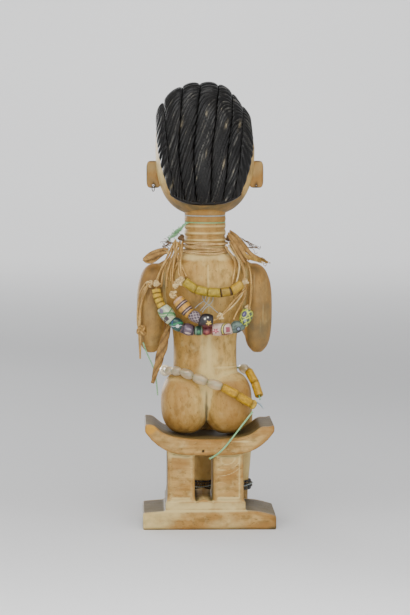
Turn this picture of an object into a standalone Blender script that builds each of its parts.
"""A carved wooden woman seated on a stool, with fibre cords and strings of glass beads.

Metres, +Z up. She faces -Y, and the origin lies under the middle of the stool's base.
"""
import math

import bmesh
import bpy
from mathutils import Matrix, Vector
from mathutils.bvhtree import BVHTree

MM = 0.001

# Clearance kept between two pieces that touch
TOUCH_GAP = 0.3 * MM

# Stool: base block
BASE_LENGTH = 107.4 * MM
BASE_DEPTH = 68.0 * MM
BASE_END_HEIGHT = 13.4 * MM
BASE_MIDDLE_HEIGHT = 16.0 * MM
BASE_WORN_DROP = 2.6 * MM
BASE_WORN_LENGTH = 18.0 * MM
BASE_EDGE_ROUND = 1.2 * MM

# Stool: raised band and low mound under and between the posts
BAND_HEIGHT = 6.2 * MM
BAND_OVERHANG = 1.4 * MM
MOUND_RISE = 2.2 * MM

# Stool: posts
POST_DEPTH = 64.0 * MM
LEFT_POST_WIDTH = 22.0 * MM
RIGHT_POST_WIDTH = 24.4 * MM
POST_GAP = 15.0 * MM
POST_GAP_X = 4.5 * MM
POST_FLARE = 1.2 * MM
POST_EDGE_ROUND = 1.6 * MM

# Stool: curved seat
SEAT_LENGTH = 104.0 * MM
SEAT_DEPTH = 70.0 * MM
SEAT_MIDDLE_TOP = 73.0 * MM
SEAT_THICKNESS = 12.6 * MM
SEAT_TIP_RISE = 11.4 * MM
SEAT_TIP_THICKNESS = 5.0 * MM
SEAT_TOP_BEND = 2.6
SEAT_UNDER_BEND = 4.0
SEAT_EDGE_ROUND = 1.0 * MM

# Figure: its height from the seat to the top of the hair. Its pose and carving are shares of
# that height, written in 285ths, so that one unit is 1 mm at the real size.
FIGURE_HEIGHT = 285.0 * MM
FIGURE_X = 2.9 * MM
UNIT = FIGURE_HEIGHT / 285

# Figure: how it rests on the seat, the lean of its limbs to one side, and its legs, in units
LOBE_GAP = 0.35 * MM
LOBE_X = 17.4
LOBE_SHIFT = -1.0
LOBE_FLAT = 4.6
ARM_SHIFT = 0.6
LEG_SHIFT = -14.5
KNEE_Y = -50.0
KNEE_HALF_SPACE = 15.2
ANKLE_RADIUS = 7.9
ANKLET_Z = -50.0

# Head: where its underside sits on the neck, its half sizes about its middle, its roundness
HEAD_SEAT = 176.8
HEAD_Y = -3.0
HEAD_HALF_WIDTH = 40.0
HEAD_HALF_DEPTH = 40.0
HEAD_DOWN = 54.4
HEAD_UP = 49.8
HEAD_Z = HEAD_SEAT + HEAD_DOWN
HEAD_SIDE_POWER = 2.6
HEAD_LEAN = 0.085
HEAD_LEAN_TOP = 0.12
HEAD_LEAN_HEIGHT = 25.0
HEAD_PROFILE_POWER = 2.2

# Ears, in units
EAR_DROP = 21.3
EAR_HALF_HEIGHT = 11.0
EAR_Z = HEAD_Z - EAR_DROP

# Neck: its rings, in units
NECK_LOW = 143.0
NECK_HIGH = 184.0
NECK_GROOVE_COUNT = 6
NECK_PITCH = 5.6
NECK_RING_RADIUS = 16.8
NECK_GROOVE_RADIUS = 15.7
NECK_FIBRE_LOW = 149.4
NECK_SIDE_COUNT = 14

# Hair: edges of the seven plaits across the head, as shares of its half width
PLAITS_AT_CROWN = (1.0, 0.86, 0.48, 0.11, -0.35, -0.71, -0.90, -1.0)
PLAITS_AT_NAPE = (1.0, 0.80, 0.58, 0.27, -0.12, -0.46, -0.73, -1.0)
HAIR_BASE = 0.8
PLAIT_HEIGHT = 3.4
HAIRLINE_NAPE = -60.4
HAIRLINE_BROW = 142.0
HAIR_STEP_COUNT = 16

# Ear hole and the small ring in it
EAR_HOLE_RADIUS = 1.15 * MM
EARRING_RADIUS = 2.3 * MM
EARRING_WIRE_RADIUS = 0.35 * MM

# Cords and threads
NECKLACE_CORD = 1.9 * MM
HIP_THREAD = 1.5 * MM
NECK_FIBRE = 1.6 * MM
NECK_THREAD = 0.9 * MM
SIDE_THREAD = 1.2 * MM
ARM_CORD = 2.6 * MM
FIBRE_TAIL = 5.4 * MM
KNOT_RADIUS = 3.0 * MM
POINT_SPACING = 3.0

# Anklets of small beads
ANKLET_BEAD_THICKNESS = 3.0 * MM
ANKLET_HEIGHT = 8.6 * MM

# Beads
BEAD_BORE_CLEARANCE = 0.8 * MM
BEAD_SIDE_COUNT = 8
BODY_BEND = 50.0 * MM
TUBE_BEAD_RADIUS = 3.7 * MM
DISC_BEAD_RADIUS = 3.4 * MM
GLASS_BEAD_RADIUS = 4.1 * MM
HIP_TUBE_RADIUS = 3.5 * MM


def clear_scene():
    """Remove every object, so that the script can run again in the same file."""
    for old in list(bpy.data.objects):
        bpy.data.objects.remove(old, do_unlink=True)


def finish(name, red, green, blue, roughness):
    """A Principled material in one plain colour."""
    material = bpy.data.materials.new(name)
    material.use_nodes = True
    shader = material.node_tree.nodes["Principled BSDF"]
    shader.inputs["Base Color"].default_value = (red, green, blue, 1.0)
    shader.inputs["Roughness"].default_value = roughness
    material.diffuse_color = (red, green, blue, 1.0)
    return material


def new_object(name, mesh_builder, material=None, sharp_angle=35.0):
    """An object from a bmesh, shaded smooth except over its sharp edges."""
    bmesh.ops.recalc_face_normals(mesh_builder, faces=mesh_builder.faces)
    mesh = bpy.data.meshes.new(name)
    mesh_builder.to_mesh(mesh)
    mesh_builder.free()
    mesh.shade_smooth()
    mesh.set_sharp_from_angle(angle=math.radians(sharp_angle))
    piece = bpy.data.objects.new(name, mesh)
    bpy.context.scene.collection.objects.link(piece)
    if material is not None:
        mesh.materials.append(material)
    return piece


# Shapes that everything is made from

def skin(rings, closed_path=False, strip_ends=False):
    """Join rings of equally many points with faces, and close the ends unless the path is a loop.

    Strip ends suit a ring that goes out along one row of points and back along another.
    """
    builder = bmesh.new()
    loops = [[builder.verts.new(point) for point in ring] for ring in rings]
    count = len(loops[0])
    pairs = list(zip(loops, loops[1:]))
    if closed_path:
        pairs.append((loops[-1], loops[0]))
    for lower, upper in pairs:
        for i in range(count):
            j = (i + 1) % count
            builder.faces.new((lower[i], lower[j], upper[j], upper[i]))
    if closed_path:
        return builder
    for loop in (loops[0][::-1], loops[-1]):
        if strip_ends:
            for i in range(count // 2 - 1):
                builder.faces.new((loop[i], loop[i + 1], loop[count - 2 - i], loop[count - 1 - i]))
        else:
            builder.faces.new(loop)
    return builder


def oval(centre, half_x, half_y, power, count):
    """A level ring of points on a superellipse."""
    ring = []
    for i in range(count):
        angle = 2 * math.pi * (i + 0.5) / count
        c, s = math.cos(angle), math.sin(angle)
        x = math.copysign(abs(c) ** (2 / power), c) * half_x
        y = math.copysign(abs(s) ** (2 / power), s) * half_y
        ring.append(Vector((centre[0] + x, centre[1] + y, centre[2])))
    return ring


def stack(sections, power, count):
    """A solid from level ovals: each section is height, half width, half depth, x and y."""
    rings = [oval(Vector((x, y, z)), a, b, power, count) for z, a, b, x, y in sections]
    return skin(rings)


def limb(path, radii, count, flatten=1.0):
    """A round solid along a path, with a radius at each point of it. It may be flattened upright."""
    path = [Vector(point) for point in path]
    across = (path[1] - path[0]).orthogonal()
    rings = []
    for i, point in enumerate(path):
        ahead = (path[min(i + 1, len(path) - 1)] - path[max(i - 1, 0)]).normalized()
        across = (across - ahead * across.dot(ahead)).normalized()
        beside = ahead.cross(across)
        ring = []
        for k in range(count):
            angle = 2 * math.pi * (k + 0.5) / count
            offset = (across * math.cos(angle) + beside * math.sin(angle)) * radii[i]
            offset.z *= flatten
            ring.append(point + offset)
        rings.append(ring)
    return skin(rings)


def ball(centre, half_x, half_y, half_z, segments=12, rings=8, turn=None):
    """An ellipsoid, turned by a matrix when one is given."""
    builder = bmesh.new()
    matrix = Matrix.Translation(centre)
    if turn is not None:
        matrix = matrix @ turn.to_4x4()
    matrix = matrix @ Matrix.Diagonal((half_x, half_y, half_z, 1))
    bmesh.ops.create_uvsphere(builder, u_segments=segments, v_segments=rings, radius=1, matrix=matrix)
    return builder


def block(low, high, edge_round=0.0, segments=2):
    """A box between two corners, with rounded edges."""
    low, high = Vector(low), Vector(high)
    builder = bmesh.new()
    matrix = Matrix.Translation((low + high) / 2) @ Matrix.Diagonal((*(high - low), 1))
    bmesh.ops.create_cube(builder, size=1, matrix=matrix)
    if edge_round:
        bmesh.ops.bevel(builder, geom=list(builder.edges), offset=edge_round,
                        segments=segments, affect="EDGES", profile=0.5)
    return builder


def extruded(outline, depth, edge_round=0.0):
    """An outline of x and z points, made solid between -depth/2 and +depth/2 in y."""
    builder = bmesh.new()
    ends = []
    for y in (-depth / 2, depth / 2):
        ends.append([builder.verts.new((x, y, z)) for x, z in outline])
    count = len(outline)
    for i in range(count):
        j = (i + 1) % count
        builder.faces.new((ends[0][i], ends[0][j], ends[1][j], ends[1][i]))
    caps = [builder.faces.new(ends[0][::-1]), builder.faces.new(ends[1])]
    if edge_round:
        rims = list({edge for cap in caps for edge in cap.edges})
        bmesh.ops.bevel(builder, geom=rims, offset=edge_round, segments=1,
                        affect="EDGES", profile=0.5)
    return builder


def joined(operation, first, builders):
    """Apply one exact Boolean with several closed shapes to an object, and return the mesh."""
    helpers = bpy.data.collections.new("helpers")
    for i, builder in enumerate(builders):
        helper = new_object(f"helper {i}", builder)
        bpy.context.scene.collection.objects.unlink(helper)
        helpers.objects.link(helper)
    boolean = first.modifiers.new(operation, "BOOLEAN")
    boolean.operation = operation
    boolean.operand_type = "COLLECTION"
    boolean.collection = helpers
    boolean.solver = "EXACT"
    bpy.context.view_layer.update()
    mesh = bpy.data.meshes.new_from_object(
        first.evaluated_get(bpy.context.evaluated_depsgraph_get()))
    for helper in list(helpers.objects) + [first]:
        bpy.data.objects.remove(helper, do_unlink=True)
    bpy.data.collections.remove(helpers)
    return mesh


def united(name, builders, material, cutters=()):
    """One closed solid from several that overlap, less the cutters."""
    mesh = joined("UNION", new_object(name, builders[0]), builders[1:])
    if cutters:
        rough = bpy.data.objects.new(name, mesh)
        bpy.context.scene.collection.objects.link(rough)
        mesh = joined("DIFFERENCE", rough, cutters)
    builder = bmesh.new()
    builder.from_mesh(mesh)
    bmesh.ops.remove_doubles(builder, verts=builder.verts, dist=0.03 * MM)
    bmesh.ops.dissolve_degenerate(builder, edges=builder.edges, dist=0.02 * MM)
    bmesh.ops.triangulate(builder, faces=builder.faces)
    bpy.data.meshes.remove(mesh)
    return new_object(name, builder, material, 40.0)


# Stool

def seat_top(x):
    """Height of the seat's hollow top at a distance x from its middle."""
    share = min(abs(x) / (SEAT_LENGTH / 2), 1.0)
    return SEAT_MIDDLE_TOP + SEAT_TIP_RISE * share ** SEAT_TOP_BEND


def seat_under(x):
    """Height of the seat's rounded underside."""
    share = min(abs(x) / (SEAT_LENGTH / 2), 1.0)
    low = SEAT_MIDDLE_TOP - SEAT_THICKNESS
    rise = SEAT_TIP_RISE + SEAT_THICKNESS - SEAT_TIP_THICKNESS
    return low + rise * share ** SEAT_UNDER_BEND


def base_top(x):
    """Height of the base block: highest at the posts, worn low at its -X end."""
    share = min(abs(x) / (BASE_LENGTH / 2), 1.0)
    height = BASE_MIDDLE_HEIGHT - (BASE_MIDDLE_HEIGHT - BASE_END_HEIGHT) * share ** 2
    worn = (-x - (BASE_LENGTH / 2 - BASE_WORN_LENGTH)) / BASE_WORN_LENGTH
    return height - BASE_WORN_DROP * max(worn, 0.0) ** 1.5


def seat_block():
    steps = 20
    xs = [SEAT_LENGTH * (i / steps - 0.5) for i in range(steps + 1)]
    outline = [(x, seat_under(x)) for x in xs] + [(x, seat_top(x)) for x in reversed(xs)]
    return extruded(outline, SEAT_DEPTH, SEAT_EDGE_ROUND)


def base_block():
    half = BASE_LENGTH / 2
    steps = 14
    xs = [BASE_LENGTH * (0.5 - i / steps) for i in range(steps + 1)]
    outline = [(-half, 0.0), (half, 0.0)] + [(x, base_top(x)) for x in xs]
    return extruded(outline, BASE_DEPTH, BASE_EDGE_ROUND)


def post_sides():
    """The x of each post's two sides."""
    left_inner = POST_GAP_X + POST_GAP / 2
    right_inner = POST_GAP_X - POST_GAP / 2
    return ((left_inner, left_inner + LEFT_POST_WIDTH),
            (right_inner - RIGHT_POST_WIDTH, right_inner))


def band_block():
    """The low band that the posts rise from, with a mound between them."""
    left, right = post_sides()
    x_low, x_high = right[0] - BAND_OVERHANG, left[1] + BAND_OVERHANG
    top = BASE_MIDDLE_HEIGHT + BAND_HEIGHT
    mound = [(left[0], top), (POST_GAP_X, top + MOUND_RISE), (right[1], top)]
    outline = [(x_low, BASE_MIDDLE_HEIGHT / 2), (x_high, BASE_MIDDLE_HEIGHT / 2), (x_high, top)]
    outline += mound + [(x_low, top)]
    return extruded(outline, POST_DEPTH + 2 * BAND_OVERHANG, 0.6 * MM)


def post_block(side):
    """A post, a little wider at its foot and its head, with rounded edges."""
    x = (side[0] + side[1]) / 2
    half = (side[1] - side[0]) / 2
    low = BASE_MIDDLE_HEIGHT + BAND_HEIGHT / 2
    high = SEAT_MIDDLE_TOP - SEAT_THICKNESS / 2
    waist_low = BASE_MIDDLE_HEIGHT + BAND_HEIGHT + 5 * MM
    waist_high = SEAT_MIDDLE_TOP - SEAT_THICKNESS - 3 * MM
    sections = ((low, POST_FLARE), (waist_low, 0.0), (waist_high, 0.0), (high, POST_FLARE / 2))
    rings = []
    for z, flare in sections:
        a, b, c = half + flare, POST_DEPTH / 2, POST_EDGE_ROUND
        corners = ((a - c, -b), (a, c - b), (a, b - c), (a - c, b),
                   (c - a, b), (-a, b - c), (-a, c - b), (c - a, -b))
        rings.append([Vector((x + dx, dy, z)) for dx, dy in corners])
    return skin(rings)


def make_stool(wood):
    posts = [post_block(side) for side in post_sides()]
    return united("stool", [base_block(), band_block(), seat_block(), *posts], wood)


# Figure. Its own axes: x to its side, y to its back, z up from where it touches the seat.

def seat_level():
    """Height at which the lobes' flat undersides come to the hollow seat."""
    edges = [side * LOBE_X + LOBE_SHIFT + out * LOBE_FLAT for side in (-1, 1) for out in (-1, 1)]
    return max(seat_top(FIGURE_X + x * UNIT) for x in edges) + LOBE_GAP


def at(x, y, z):
    """A place on the figure, from units to metres."""
    return Vector((FIGURE_X + x * UNIT, y * UNIT, seat_level() + z * UNIT))


def head_radius(angle):
    """Distance from the middle of the head to its profile, at an angle up from the back."""
    up = math.sin(angle)
    reach = HEAD_UP if up > 0 else HEAD_DOWN
    p = HEAD_PROFILE_POWER
    total = abs(math.cos(angle) / HEAD_HALF_DEPTH) ** p + abs(up / reach) ** p
    return total ** (-1 / p)


def head_point(angle, x, lift=0.0):
    """A point on the head, at an angle about its side-to-side axis and at a distance x from it."""
    share = min(abs(x) / HEAD_HALF_WIDTH, 0.999)
    inward = (1 - share ** HEAD_SIDE_POWER) ** (1 / HEAD_SIDE_POWER)
    spread = share ** 3
    radius = head_radius(angle) * inward + lift * (1 - spread * 0.6)
    x += math.copysign(lift * spread, x)
    z = radius * math.sin(angle)
    if x < 0:
        side = min(max(z / HEAD_LEAN_HEIGHT, 0.0), 1.0)
        top = min(max((z - HEAD_LEAN_HEIGHT) / (HEAD_UP - HEAD_LEAN_HEIGHT) * 1.7, 0.0), 1.0)
        x *= 1 - HEAD_LEAN * side - HEAD_LEAN_TOP * top
    return at(x, HEAD_Y + radius * math.cos(angle), HEAD_Z + z)


def skull():
    """The bare head, from slices between its left and right sides."""
    slices = (-0.995, -0.91, -0.72, -0.40, 0.0, 0.40, 0.72, 0.91, 0.995)
    count = 18
    rings = []
    for share in slices:
        turns = [2 * math.pi * i / count for i in range(count)]
        rings.append([head_point(angle, share * HEAD_HALF_WIDTH) for angle in turns])
    return skin(rings)


def hair_half_width(degrees):
    """Half the width that the hair covers, at an angle up from the back."""
    stops = ((-60, 27.0), (-45, 31.8), (-30, 34.8), (-10, 36.8), (20, 37.9), (60, 38.2),
             (100, 38.0), (125, 36.4), (142, 31.0))
    for (a0, w0), (a1, w1) in zip(stops, stops[1:]):
        if degrees <= a1:
            share = max((degrees - a0) / (a1 - a0), 0.0)
            return w0 + (w1 - w0) * share
    return stops[-1][1]


def plait_edges(degrees):
    """Edges of the plaits, which drift sideways between the crown and the nape."""
    share = min(max((70 - degrees) / 70, 0.0), 1.0)
    return [a + (b - a) * share for a, b in zip(PLAITS_AT_CROWN, PLAITS_AT_NAPE)]


def hair():
    """Seven raised plaits that run from the brow over the crown to the nape."""
    across = (-1.0, -0.5, 0.5)
    outer, inner = [], []
    for i in range(HAIR_STEP_COUNT + 1):
        degrees = HAIRLINE_NAPE + (HAIRLINE_BROW - HAIRLINE_NAPE) * i / HAIR_STEP_COUNT
        angle = math.radians(degrees)
        edges = plait_edges(degrees)
        width = hair_half_width(degrees)
        tall = PLAIT_HEIGHT if 0 < i < HAIR_STEP_COUNT else 0.0
        top, under = [], []
        for left, right in zip(edges, edges[1:]):
            for v in across:
                x = (left + (right - left) * (v + 1) / 2) * width
                top.append(head_point(angle, x, HAIR_BASE + tall * math.sqrt(1 - v * v)))
                under.append(head_point(angle, x * 0.9, -5.0))
        top.append(head_point(angle, edges[-1] * width, HAIR_BASE))
        under.append(head_point(angle, edges[-1] * width * 0.9, -5.0))
        outer.append(top)
        inner.append(under)
    return skin([top + under[::-1] for top, under in zip(outer, inner)], strip_ends=True)


def ear(side):
    """A flat tab with rounded corners."""
    middle = at(side * 41.5, HEAD_Y, EAR_Z)
    half = Vector((5.9, 1.5, EAR_HALF_HEIGHT)) * UNIT
    builder = block(middle - half, middle + half)
    upright = [e for e in builder.edges if abs(e.verts[0].co.y - e.verts[1].co.y) > half.y]
    bmesh.ops.bevel(builder, geom=upright, offset=3.0 * UNIT, segments=2, affect="EDGES", profile=0.5)
    return builder


def ear_hole_place(side):
    """Where the lobe is pierced."""
    low = at(side * 41.8, HEAD_Y, EAR_Z - EAR_HALF_HEIGHT)
    return low + Vector((0, 0, EAR_HOLE_RADIUS + 0.8 * MM))


def face_y(z):
    """How far forward the middle of the face is, at a height from the middle of the head."""
    reach = HEAD_UP if z > 0 else HEAD_DOWN
    share = (1 - abs(z / reach) ** HEAD_PROFILE_POWER) ** (1 / HEAD_PROFILE_POWER)
    return HEAD_Y - HEAD_HALF_DEPTH * share


def face():
    """A calm, plain face: brows, closed lids, nose, lips and chin."""
    parts = []
    front = HEAD_Y - HEAD_HALF_DEPTH
    for side in (-1, 1):
        brow = [at(side * x, front + y, HEAD_Z + z)
                for x, y, z in ((3.5, 1.5, 7.5), (10, 1.6, 10.5), (18, 4.4, 10.8), (25, 9.5, 7.0))]
        parts.append(limb(brow, [u * UNIT for u in (0.9, 1.5, 1.5, 0.8)], 6))
        parts.append(ball(at(side * 13.5, front + 2.8, HEAD_Z + 1.0), 6.6 * UNIT, 2.6 * UNIT,
                          3.2 * UNIT, 8, 5))
    nose = [at(0, face_y(z) + out, HEAD_Z + z)
            for z, out in ((8.0, 1.0), (-4.0, -0.6), (-14.0, -1.6), (-17.8, 1.0))]
    parts.append(limb(nose, [u * UNIT for u in (1.6, 2.4, 4.2, 2.4)], 8))
    for z, half in ((-26.6, 7.4), (-29.9, 6.8)):
        parts.append(ball(at(0, face_y(z) + 1.0, HEAD_Z + z), half * UNIT, 3.0 * UNIT, 2.0 * UNIT,
                          8, 6))
    parts.append(ball(at(0, face_y(-38) + 7.0, HEAD_Z - 39.0), 12 * UNIT, 8 * UNIT, 8 * UNIT, 10, 6))
    return parts


def neck():
    """The neck, with a groove between each two of its rings."""
    sections = [(NECK_LOW, 17.2, 17.2, 0, 0)]
    for i in range(NECK_GROOVE_COUNT):
        z = neck_groove(i)
        sections.append((z, NECK_GROOVE_RADIUS, NECK_GROOVE_RADIUS, 0, 0))
        sections.append((z + NECK_PITCH / 2, NECK_RING_RADIUS, NECK_RING_RADIUS, 0, 0))
    sections.append((NECK_HIGH, 16.2, 16.2, 0, 0))
    return stack(placed(sections), 2.0, NECK_SIDE_COUNT)


def neck_groove(number):
    """Height of a groove, counted from the shoulders, in units."""
    return NECK_LOW + 6.0 + number * NECK_PITCH


def placed(sections):
    """Sections in units, turned into metres."""
    result = []
    for z, a, b, x, y in sections:
        place = at(x, y, z)
        result.append((place.z, a * UNIT, b * UNIT, place.x, place.y))
    return result


def trunk():
    """Chest, waist and hips, widest at the shoulder blades."""
    sections = ((13, 20, 15, 0, -2), (24, 28, 21, 0, -1), (36, 29.5, 22, 0, -1),
                (48, 26.4, 20, 0, -1.5), (66, 25.6, 19, 0, -1.5), (84, 26.6, 19.4, 0, -1.0),
                (106, 32.6, 20.4, 0, 0), (122, 35.6, 20.6, 0, 0),
                (132, 34.6, 20.2, 0, 0), (140, 29.5, 19.0, 0, 0), (147.5, 17.6, 16.8, 0, 0))
    return stack(placed(sections), 2.5, 18)


def spine():
    """The low upright ridge down the back."""
    path = [at(0.2, y, z) for y, z in ((17.0, 141), (20.1, 122), (18.2, 84), (17.1, 62), (19.2, 44))]
    return limb(path, [u * UNIT for u in (0.5, 1.1, 1.1, 1.1, 0.5)], 5)


def upper_arm(side):
    """A long drop, from the shoulder to the elbow."""
    sections = ((138.0, 3.0, 3.5, 39.8, 1), (135.0, 7.4, 8.6, 40.2, 1), (130, 10.0, 11.6, 41.0, 1),
                (120, 11.8, 13.2, 42.2, 1), (104, 12.2, 13.6, 42.9, 1), (90, 11.6, 12.6, 43.1, 1),
                (79, 10.4, 10.8, 43.2, 0.5), (71, 8.0, 8.2, 43.2, 0), (65.6, 3.4, 3.6, 43.2, 0))
    mirrored = [(z, a, b, side * x + ARM_SHIFT, y) for z, a, b, x, y in sections]
    return stack(placed(mirrored), 2.1, 12)


def forearm_and_hand(side):
    """The arm from the elbow, forward and up to a hand below the breast."""
    points = ((42.6, 1, 74.5), (42.0, -12, 76), (38.5, -23, 82), (30.5, -29, 92), (21.5, -30.5, 99.5),
              (13.5, -31, 102.5), (7.5, -29.5, 103.5))
    path = [at(side * x, y, z) for x, y, z in points]
    return limb(path, [u * UNIT for u in (8.4, 8.2, 7.2, 5.8, 4.8, 5.6, 2.6)], 8)


def fingers(side):
    """Three straight finger ridges on the hand."""
    parts = []
    for i in range(3):
        z = 106.4 - i * 3.2
        path = [at(side * x, y, z + rise) for x, y, rise in
                ((15.0, -34.6, -0.6), (9.0, -34.4, 0.0), (3.6, -29.0, 0.4))]
        parts.append(limb(path, [u * UNIT for u in (1.3, 1.6, 1.0)], 5))
    return parts


def buttock(side):
    """A plump lobe that meets the other one at the middle."""
    half_height = 25.6
    power = 2.5
    steps = 8
    sections = []
    for i in range(steps):
        share = -math.cos(math.pi * (i + 0.4) / (steps - 0.2))
        width = (1 - abs(share) ** power) ** (1 / power)
        sections.append((half_height * (1 + share), 19.6 * width, 24.0 * width,
                         side * LOBE_X + LOBE_SHIFT, 3.5))
    low = sections[0][0]
    sections = [(z - low, a, b, x, y) for z, a, b, x, y in sections]
    return stack(placed(sections), 2.3, 14)


def shoulder(side):
    """The slope from the neck to the top of the arm."""
    path = [at(side * x, y, z) for x, y, z in ((14, 0, 133), (28, 0, 131.5), (39, 1, 126))]
    return limb(path, [u * UNIT for u in (11.0, 10.5, 8.6)], 8)


def thigh(side):
    """A thigh, which runs forward and to one side over the seat."""
    path = [at(side * x + LEG_SHIFT * share, y, z) for x, share, y, z in
            ((16.5, 0, -2, 17.5), (16.5, 0.45, -24, 17.0), (KNEE_HALF_SPACE, 0.85, -42, 16.5),
             (KNEE_HALF_SPACE, 1.0, KNEE_Y - 7, 14.5), (KNEE_HALF_SPACE, 1.0, KNEE_Y - 11, 12.0))]
    return limb(path, [u * UNIT for u in (14.0, 14.0, 12.6, 9.0, 4.0)], 10)


def shin(side):
    """The leg from the knee to the ankle."""
    x = side * KNEE_HALF_SPACE + LEG_SHIFT
    path = [at(x, y, z) for y, z in ((KNEE_Y, 22), (KNEE_Y + 0.5, 12), (KNEE_Y + 1.5, -14),
                                     (KNEE_Y, -36), (KNEE_Y, ANKLET_Z), (KNEE_Y, -64))]
    return limb(path, [u * UNIT for u in (8.0, 11.2, 10.8, 9.2, ANKLE_RADIUS, 7.4)], 10)


def foot(side):
    """A foot with its toes forward."""
    x = side * KNEE_HALF_SPACE + LEG_SHIFT
    rings = []
    for y, half, low, high in ((9.5, 3.0, -69, -60), (6, 6.2, -70, -54), (-4, 7.0, -70, -53),
                               (-16, 7.4, -70, -61), (-25, 7.4, -70, -64.5), (-30, 4.2, -69.6, -66.5)):
        middle = (low + high) / 2
        tall = (high - low) / 2
        ring = []
        for i in range(8):
            angle = 2 * math.pi * i / 8
            ring.append(at(x + half * math.cos(angle), KNEE_Y + y, middle + tall * math.sin(angle)))
        rings.append(ring)
    return skin(rings)


def sandal(side):
    """A thin sandal sole under the foot."""
    x = side * KNEE_HALF_SPACE + LEG_SHIFT
    shape = ((11.0, 4.0), (9.0, 6.8), (0.0, 6.6), (-14.0, 8.2), (-26.0, 8.2), (-31.5, 4.6))
    outline = [(half, y) for y, half in shape] + [(-half, y) for y, half in reversed(shape)]
    rings = [[at(x + dx, KNEE_Y + dy, z) for dx, dy in outline] for z in (-72.4, -69.0)]
    return skin(rings)


def front_details():
    """Small breasts and the navel."""
    parts = []
    for side in (-1, 1):
        path = [at(side * x, y, z) for x, y, z in
                ((13.0, -12, 112), (13.4, -18, 110.5), (14.0, -22.5, 109), (14.4, -25.5, 108))]
        parts.append(limb(path, [u * UNIT for u in (8.6, 8.0, 5.8, 2.0)], 10))
    parts.append(ball(at(0, -20.0, 62), 2.6 * UNIT, 2.4 * UNIT, 2.6 * UNIT, 6, 5))
    return parts


def ear_hole(side):
    """The cutter for a pierced lobe."""
    builder = bmesh.new()
    matrix = Matrix.Translation(ear_hole_place(side)) @ Matrix.Rotation(math.pi / 2, 4, "X")
    bmesh.ops.create_cone(builder, cap_ends=True, segments=10, radius1=EAR_HOLE_RADIUS,
                          radius2=EAR_HOLE_RADIUS, depth=8 * MM, matrix=matrix)
    return builder


def make_figure(wood):
    parts = [trunk(), neck(), skull(), hair(), spine()]
    parts += face() + front_details()
    for side in (-1, 1):
        parts += [ear(side), upper_arm(side), shoulder(side), forearm_and_hand(side),
                  buttock(side), thigh(side), shin(side), foot(side), sandal(side)]
        parts += fingers(side)
    return united("figure", parts, wood, [ear_hole(side) for side in (-1, 1)])


# Cords. Each route is a list of places on the figure, in units, chosen by hand.

def smooth_path(points, spacing):
    """Points at an even spacing along a smooth curve through the given ones."""
    dense = []
    ends = [points[0] * 2 - points[1]] + points + [points[-1] * 2 - points[-2]]
    for a, b, c, d in zip(ends, ends[1:], ends[2:], ends[3:]):
        for i in range(16):
            t = i / 16
            dense.append(0.5 * (2 * b + (c - a) * t + (2 * a - 5 * b + 4 * c - d) * t * t
                                + (3 * b - a - 3 * c + d) * t ** 3))
    dense.append(points[-1])
    return even_path(dense, spacing)


def even_path(dense, spacing):
    """The same path with points at an even spacing."""
    length = path_length(dense)
    count = max(round(length / spacing), 2)
    return [along(dense, length * i / count) for i in range(count + 1)]


def path_length(path):
    return sum((b - a).length for a, b in zip(path, path[1:]))


def along(path, distance):
    """The point at a distance along a path."""
    for a, b in zip(path, path[1:]):
        step = (b - a).length
        if distance <= step:
            return a.lerp(b, distance / step) if step else a.copy()
        distance -= step
    return path[-1].copy()


def settle(path, clearances, bodies, rounds=6):
    """Lay a path on the bodies: each point keeps its clearance to them, with no sharp kinks."""
    path = [point.copy() for point in path]
    for turn in range(rounds):
        if turn < rounds - 1:
            eased = [(a + b * 2 + c) / 4 for a, b, c in zip(path, path[1:], path[2:])]
            path = [path[0]] + eased + [path[-1]]
        for i, point in enumerate(path):
            for body in bodies:
                place, normal, _, distance = body.find_nearest(point)
                inside = (point - place).dot(normal) < 0
                if inside or distance < clearances[i]:
                    way = normal if inside or distance < 1e-6 else (point - place) / distance
                    path[i] = place + way * clearances[i]
                    point = path[i]
    return path


def cord(name, path, diameter, material, swell=None):
    """A round cord along a path. Swell gives a share of the diameter at each of its points."""
    curve = bpy.data.curves.new(name, "CURVE")
    curve.dimensions = "3D"
    curve.bevel_depth = diameter / 2
    curve.bevel_resolution = 2
    curve.use_fill_caps = True
    spline = curve.splines.new("POLY")
    spline.points.add(len(path) - 1)
    for i, point in enumerate(path):
        spline.points[i].co = (*point, 1.0)
        spline.points[i].radius = swell[i] if swell else 1.0
    curve.materials.append(material)
    piece = bpy.data.objects.new(name, curve)
    bpy.context.scene.collection.objects.link(piece)
    return piece


# Beads. A profile is half the length and the radius, from one end to the other, as shares.

TUBE = ((-1.0, 1.0), (1.0, 1.0))
BARREL = ((-1.0, 0.78), (0.0, 1.0), (1.0, 0.78))
OVAL = ((-1.0, 0.55), (-0.4, 1.0), (0.4, 1.0), (1.0, 0.55))


def bead_mesh(name, profile, length, radius, bore):
    """A turned bead about Z, with its bore through it."""
    rim = [(share * length / 2, size * radius) for share, size in profile]
    rim += [(length / 2, bore), (-length / 2, bore)]
    rings = []
    for k in range(BEAD_SIDE_COUNT):
        angle = 2 * math.pi * k / BEAD_SIDE_COUNT
        rings.append([Vector((r * math.cos(angle), r * math.sin(angle), z)) for z, r in rim])
    return skin(rings, closed_path=True)


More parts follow.
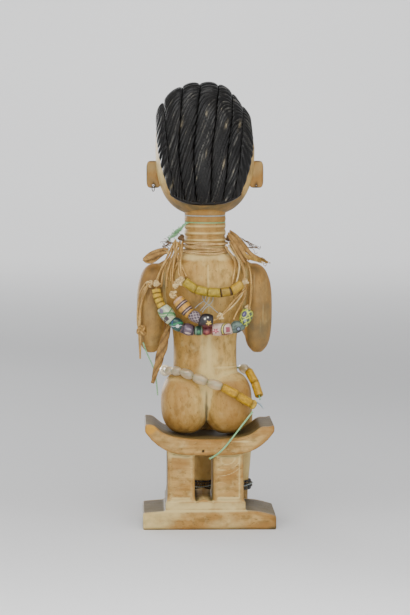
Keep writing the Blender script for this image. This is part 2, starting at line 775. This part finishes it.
def string_beads(path, start, beads, thread, materials):
    """Thread beads one after another on a path, as close together as their rims allow."""
    distance = start
    last_way, last_rim = None, 0.0
    for name, profile, length, radius, slot in beads:
        rim = radius * profile[0][1]
        gap = 0.0
        for _ in range(3):
            begin = distance + gap
            ends = [along(path, begin + length * share) for share in (0.12, 0.5, 0.88)]
            way = (ends[2] - ends[0]).normalized()
            if last_way is not None:
                bend = last_way.angle(way)
                gap = TOUCH_GAP + (rim + last_rim) * math.tan(bend / 2)
        middle = (ends[0] + ends[1] + ends[2]) / 3
        builder = bead_mesh(name, profile, length, radius, thread / 2 + BEAD_BORE_CLEARANCE)
        piece = new_object(name, builder, materials[slot])
        piece.location = middle
        piece.rotation_mode = "QUATERNION"
        piece.rotation_quaternion = way.to_track_quat("Z", "Y")
        distance = begin + length
        last_way, last_rim = way, rim


def clearances_for(path, thread, groups):
    """How far each point of a path stays off the body: further where beads are."""
    result = []
    distance = 0.0
    for i, point in enumerate(path):
        if i:
            distance += (point - path[i - 1]).length
        near = thread / 2
        for start, beads in groups:
            end = start
            for _, _, length, radius, _ in beads:
                if end - thread < distance < end + length + thread:
                    near = max(near, radius + length ** 2 / (8 * BODY_BEND))
                end += length + 2 * TOUCH_GAP
        result.append(near + 1.6 * TOUCH_GAP)
    return result


def beaded_string(name, route, thread, groups, bodies, thread_material, materials):
    """A thread along a route, settled on the body, and its groups of beads.

    A group's start is a distance along the thread, counted from its end when it is negative.
    """
    path = smooth_path([at(*place) for place in route], thread * POINT_SPACING)
    whole = path_length(path)
    groups = [(start if start >= 0 else whole + start, beads) for start, beads in groups]
    path = settle(path, clearances_for(path, thread, groups), bodies)
    cord(name, path, thread, thread_material)
    for start, beads in groups:
        string_beads(path, start, beads, thread, materials)


UPPER_ROUTE = (
    (18.6, 12.2, 155.6), (20.2, 16.5, 149.5), (20.8, 19.5, 144.0), (20.6, 21.0, 135.3),
    (20.6, 22.8, 127.0), (18.2, 24.5, 121.8), (12.0, 25.0, 119.2), (2.8, 25.0, 116.6),
    (-6.6, 25.0, 115.0), (-16.0, 25.0, 115.2), (-25.0, 24.5, 117.6), (-31.4, 23.5, 121.4),
    (-33.4, 22.5, 126.0), (-32.4, 20.5, 133.0), (-28.4, 19.0, 141.5), (-23.0, 15.4, 149.5),
    (-19.6, 12.4, 155.4))
MIDDLE_ROUTE = (
    (21.8, 10.8, 155.4), (24.6, 15.5, 147.0), (26.2, 19.0, 140.0), (26.8, 20.5, 132.0),
    (27.0, 22.5, 121.0), (26.6, 25.0, 114.0), (23.5, 26.5, 109.4), (17.0, 27.8, 102.8),
    (9.9, 30.4, 96.4), (4.8, 32.8, 93.0), (-3.4, 33.6, 91.6), (-10.2, 30.2, 93.6),
    (-18.2, 22.8, 103.5), (-24.5, 21.2, 112.0), (-31.5, 20.5, 118.0))
LOWER_ROUTE = (
    (23.8, 8.8, 157.4), (28.0, 13.0, 150.5), (31.8, 15.5, 142.0), (35.8, 16.5, 133.0),
    (40.8, 17.5, 125.5), (42.4, 18.5, 120.0), (40.6, 20.0, 114.0), (38.6, 21.0, 109.0),
    (35.6, 22.0, 104.0), (31.0, 23.2, 97.6), (25.8, 24.8, 90.4), (21.0, 25.6, 86.6),
    (14.4, 25.6, 84.8), (6.2, 24.8, 84.4), (-1.2, 24.6, 85.6), (-8.0, 25.0, 86.6),
    (-14.1, 26.0, 87.0), (-20.6, 26.4, 86.0), (-26.6, 25.8, 85.4), (-30.6, 24.8, 88.0),
    (-33.2, 23.8, 94.0), (-35.2, 22.6, 103.0), (-36.2, 21.5, 112.0), (-37.4, 20.5, 121.0),
    (-37.4, 19.0, 130.0), (-33.8, 17.0, 140.0), (-28.5, 14.0, 149.5), (-23.0, 11.0, 155.6))
HIP_ROUTE = (
    (-40.0, 25.0, 24.4), (-36.0, 27.2, 26.8), (-31.0, 29.5, 29.6), (-24.0, 30.5, 34.4),
    (-15.8, 30.0, 39.4), (-9.0, 28.0, 41.8), (3.5, 25.0, 45.2), (14.4, 21.5, 48.2),
    (20.4, 18.5, 49.4), (26.1, 14.5, 50.0), (31.5, 8.5, 49.6), (33.0, 0.0, 50.0),
    (29.0, -12.0, 49.5), (20.0, -21.0, 48.0), (8.0, -25.0, 46.5), (-5.0, -25.5, 46.5),
    (-17.0, -22.0, 48.5), (-26.0, -13.0, 51.5), (-31.5, -3.0, 53.0), (-36.0, 4.0, 50.2),
    (-39.6, 10.5, 43.5), (-42.6, 16.0, 35.0), (-44.0, 20.0, 29.0))
GREEN_TAIL_ROUTE = (
    (-37.4, 31.4, 20.4), (-32.5, 33.0, 14.5), (-27.8, 35.0, 8.5), (-19.8, 37.2, -1.2),
    (-10.8, 37.2, -12.8), (-5.5, 37.0, -15.8), (-2.6, 36.8, -16.9))
ARM_CORD_ROUTE = (
    (45.4, 18.8, 123.2), (48.5, 18.5, 121.5), (51.8, 16.0, 114.0), (54.0, 12.0, 101.0),
    (54.4, 12.0, 92.0), (53.4, 12.5, 86.0), (52.4, 13.0, 76.0), (52.8, 12.5, 67.0),
    (52.8, 12.5, 61.5))
FIBRE_TAIL_ROUTE = (
    (29.3, 17.6, 90.0), (30.6, 18.6, 84.0), (33.2, 19.2, 76.0), (36.0, 20.0, 65.5),
    (39.2, 20.0, 54.5), (43.0, 19.0, 42.3))
SIDE_THREAD_ROUTE = (
    (50.4, 9.2, 74.5), (48.2, 9.8, 67.0), (44.0, 10.0, 59.0), (41.0, 9.5, 52.0),
    (39.8, 8.5, 44.5), (38.6, 6.5, 31.1))
LEAF_ROUTE = ((30.6, 17.0, 149.4), (34.5, 17.6, 148.6), (39.5, 17.4, 146.6), (45.0, 16.6, 143.4),
              (50.2, 15.6, 140.4))
FRAYED_ROUTE = ((-24.0, 8.0, 158.6), (-28.5, 12.4, 155.0), (-34.0, 15.0, 150.0),
                (-39.5, 15.4, 145.4), (-45.0, 15.2, 141.4), (-48.6, 14.4, 139.4))
KNOT_PLACE = (19.2, 9.0, 159.0)


def tree_of(piece):
    """A search tree of an object's faces, in world places."""
    mesh = piece.data
    corners = [piece.matrix_world @ vertex.co for vertex in mesh.vertices]
    return BVHTree.FromPolygons(corners, [tuple(face.vertices) for face in mesh.polygons])


def ring_on_neck(name, groove, thread, material):
    """A thread wound once round the neck, in a groove between its rings."""
    major = NECK_GROOVE_RADIUS * UNIT + TOUCH_GAP + thread / 2
    centre = at(0, 0, neck_groove(groove))
    rings = []
    for i in range(NECK_SIDE_COUNT):
        angle = 2 * math.pi * (i + 0.5) / NECK_SIDE_COUNT
        out = Vector((math.cos(angle), math.sin(angle), 0))
        ring = []
        for k in range(5):
            turn = 2 * math.pi * k / 5
            ring.append(centre + out * (major + math.cos(turn) * thread / 2)
                        + Vector((0, 0, math.sin(turn) * thread / 2)))
        rings.append(ring)
    return new_object(name, skin(rings, closed_path=True), material)


def neck_windings(name, turns, thread, material):
    """Fibre cord wound round the foot of the neck."""
    per_turn = 12
    major = NECK_RING_RADIUS * UNIT / math.cos(math.pi / per_turn) + TOUCH_GAP + thread / 2
    low = at(0, 0, NECK_FIBRE_LOW)
    path = []
    for i in range(round(turns * per_turn) + 1):
        angle = 2 * math.pi * (i + 0.5) / per_turn
        rise = (thread + TOUCH_GAP) * i / per_turn
        path.append(low + Vector((major * math.cos(angle), major * math.sin(angle), rise)))
    return cord(name, path, thread, material)


def anklet(name, side, material):
    """Small beads strung close round the ankle, in one ring."""
    beads = 9
    centre = at(side * KNEE_HALF_SPACE + LEG_SHIFT, KNEE_Y, ANKLET_Z)
    thick = ANKLET_BEAD_THICKNESS / 2
    major = (ANKLE_RADIUS + 0.5) * UNIT + TOUCH_GAP + thick
    rings = []
    for i in range(2 * beads):
        angle = math.pi * i / beads
        swell = 1.0 if i % 2 else 0.72
        out = Vector((math.cos(angle), math.sin(angle), 0))
        ring = []
        for k in range(6):
            turn = 2 * math.pi * (k + 0.5) / 6
            ring.append(centre + out * (major + math.cos(turn) * thick * swell)
                        + Vector((0, 0, math.sin(turn) * ANKLET_HEIGHT / 2 * swell)))
        rings.append(ring)
    return new_object(name, skin(rings, closed_path=True), material)


def earring(name, side, material):
    """A small wire ring through the pierced lobe."""
    centre = ear_hole_place(side) - Vector((0, 0, EARRING_RADIUS))
    rings = []
    for i in range(14):
        angle = 2 * math.pi * (i + 0.5) / 14
        out = Vector((0, math.cos(angle), math.sin(angle)))
        rings.append([centre + out * (EARRING_RADIUS + math.cos(t) * EARRING_WIRE_RADIUS)
                      + Vector((math.sin(t) * EARRING_WIRE_RADIUS, 0, 0))
                      for t in (2 * math.pi * k / 5 for k in range(5))])
    return new_object(name, skin(rings, closed_path=True), material)


def hanging_cord(name, route, diameter, swell, bodies, material):
    """A cord with loose ends, thicker where swell says so."""
    path = smooth_path([at(*place) for place in route], diameter * POINT_SPACING)
    sizes = []
    for i in range(len(path)):
        place = i / (len(path) - 1) * (len(swell) - 1)
        step = min(int(place), len(swell) - 2)
        sizes.append(swell[step] + (swell[step + 1] - swell[step]) * (place - step))
    path = settle(path, [diameter / 2 * size + 1.6 * TOUCH_GAP for size in sizes], bodies)
    return cord(name, path, diameter, material, sizes)


def bundle(name, route, radii, flatten, material):
    """A fibre end folded or frayed into a leaf shape."""
    path = [at(*place) for place in route]
    return new_object(name, limb(path, [u * UNIT for u in radii], 7, flatten), material)


def dress(figure, stool, fibre, green, beads):
    """Everything that she wears."""
    body = [tree_of(figure)]
    body_and_stool = body + [tree_of(stool)]
    upper = [(f"upper_bead_{i + 1}", TUBE, length * MM, TUBE_BEAD_RADIUS, slot)
             for i, (length, slot) in enumerate(((10.4, "yellow"), (8.0, "yellow"),
                                                 (9.2, "yellow"), (7.6, "amber"), (9.4, "amber")))]
    beaded_string("upper_cord", UPPER_ROUTE, NECKLACE_CORD, [(33.6 * MM, upper)], body, fibre, beads)
    middle = [(f"middle_bead_{i + 1}", BARREL, length * MM, radius * MM, "pattern")
              for i, (length, radius) in enumerate(((15.4, 5.4), (6.8, 4.6), (9.4, 5.7)))]
    beaded_string("middle_cord", MIDDLE_ROUTE, NECKLACE_CORD, [(48.2 * MM, middle)], body,
                  fibre, beads)
    discs = [(f"lower_disc_{i + 1}", TUBE, 3.3 * MM, DISC_BEAD_RADIUS, "yellow") for i in range(4)]
    lower = [(f"lower_bead_{i + 1}", BARREL, length * MM, radius * MM, "pattern")
             for i, (length, radius) in enumerate(((12.2, 6.0), (7.8, 5.2), (8.8, 4.9), (6.0, 4.1),
                                                   (6.2, 4.1), (15.6, 5.3), (6.8, 5.1), (10.8, 5.2)))]
    beaded_string("lower_cord", LOWER_ROUTE, NECKLACE_CORD, [(44.0 * MM, discs + lower)], body,
                  fibre, beads)
    back = [("hip_disc", BARREL, 3.8 * MM, 4.0 * MM, "amber")]
    back += [(f"hip_tube_{i + 1}", TUBE, 12.4 * MM, HIP_TUBE_RADIUS, "amber") for i in range(2)]
    back += [(f"hip_glass_{i + 1}", OVAL, length * MM, radius * MM, "clear")
             for i, (length, radius) in enumerate(((12.0, 4.2), (12.0, 4.2), (10.4, 4.0),
                                                   (7.4, 4.0), (8.0, 3.6), (9.4, 4.8)))]
    front = [(f"hip_glass_{i + 7}", OVAL, 9.6 * MM, GLASS_BEAD_RADIUS, "clear") for i in range(4)]
    side = [("hip_glass_11", OVAL, 11.8 * MM, GLASS_BEAD_RADIUS, "clear")]
    side += [(f"hip_tube_{i + 3}", TUBE, 11.6 * MM, HIP_TUBE_RADIUS, "amber") for i in range(2)]
    beaded_string("hip_thread", HIP_ROUTE, HIP_THREAD,
                  [(0.8 * MM, back), (114 * MM, front), (-41 * MM, side)], body, green, beads)
    hanging_cord("green_tail", GREEN_TAIL_ROUTE, HIP_THREAD, (1.0, 1.0), body_and_stool, green)
    hanging_cord("arm_cord", ARM_CORD_ROUTE, ARM_CORD, (0.8, 0.9, 0.8, 0.8, 1.6, 1.6, 1.0, 0.9, 0.7),
                 body, fibre)
    hanging_cord("fibre_tail", FIBRE_TAIL_ROUTE, FIBRE_TAIL, (0.5, 1.0, 1.2, 1.1, 0.8, 0.5),
                 body, fibre)
    hanging_cord("side_thread", SIDE_THREAD_ROUTE, SIDE_THREAD, (1.0, 1.0), body, green)
    neck_windings("neck_fibre", 2.6, NECK_FIBRE, fibre)
    ring_on_neck("neck_thread_green", 4, NECK_THREAD, green)
    ring_on_neck("neck_thread_pale", 5, NECK_THREAD, beads["clear"])
    x, y, z = KNOT_PLACE
    for name, side in (("knot_left", 1), ("knot_right", -1)):
        knot = ball(at(side * x, y, z), KNOT_RADIUS, KNOT_RADIUS, KNOT_RADIUS, 8, 6)
        new_object(name, knot, fibre)
    bundle("leaf_end", LEAF_ROUTE, (0.9, 2.4, 3.6, 3.2, 0.8), 0.62, fibre)
    bundle("frayed_end", FRAYED_ROUTE, (1.3, 1.9, 2.4, 2.8, 2.2, 0.8), 0.8, fibre)
    for name, side in (("anklet_left", 1), ("anklet_right", -1)):
        anklet(name, side, beads["dark"])
    earring("earring", 1, beads["dark"])


def main():
    clear_scene()
    pale_wood = finish("pale carved wood", 0.52, 0.36, 0.20, 0.6)
    stool_wood = finish("stool wood", 0.50, 0.35, 0.20, 0.65)
    fibre = finish("plant fibre", 0.45, 0.30, 0.14, 0.8)
    green = finish("green thread", 0.35, 0.62, 0.38, 0.7)
    beads = {
        "yellow": finish("yellow glass", 0.62, 0.47, 0.06, 0.35),
        "amber": finish("amber glass", 0.70, 0.42, 0.05, 0.3),
        "pattern": finish("patterned glass", 0.25, 0.12, 0.14, 0.3),
        "clear": finish("clear glass", 0.75, 0.73, 0.68, 0.1),
        "dark": finish("dark small beads", 0.03, 0.04, 0.08, 0.3),
    }
    stool = make_stool(stool_wood)
    figure = make_figure(pale_wood)
    dress(figure, stool, fibre, green, beads)


main()
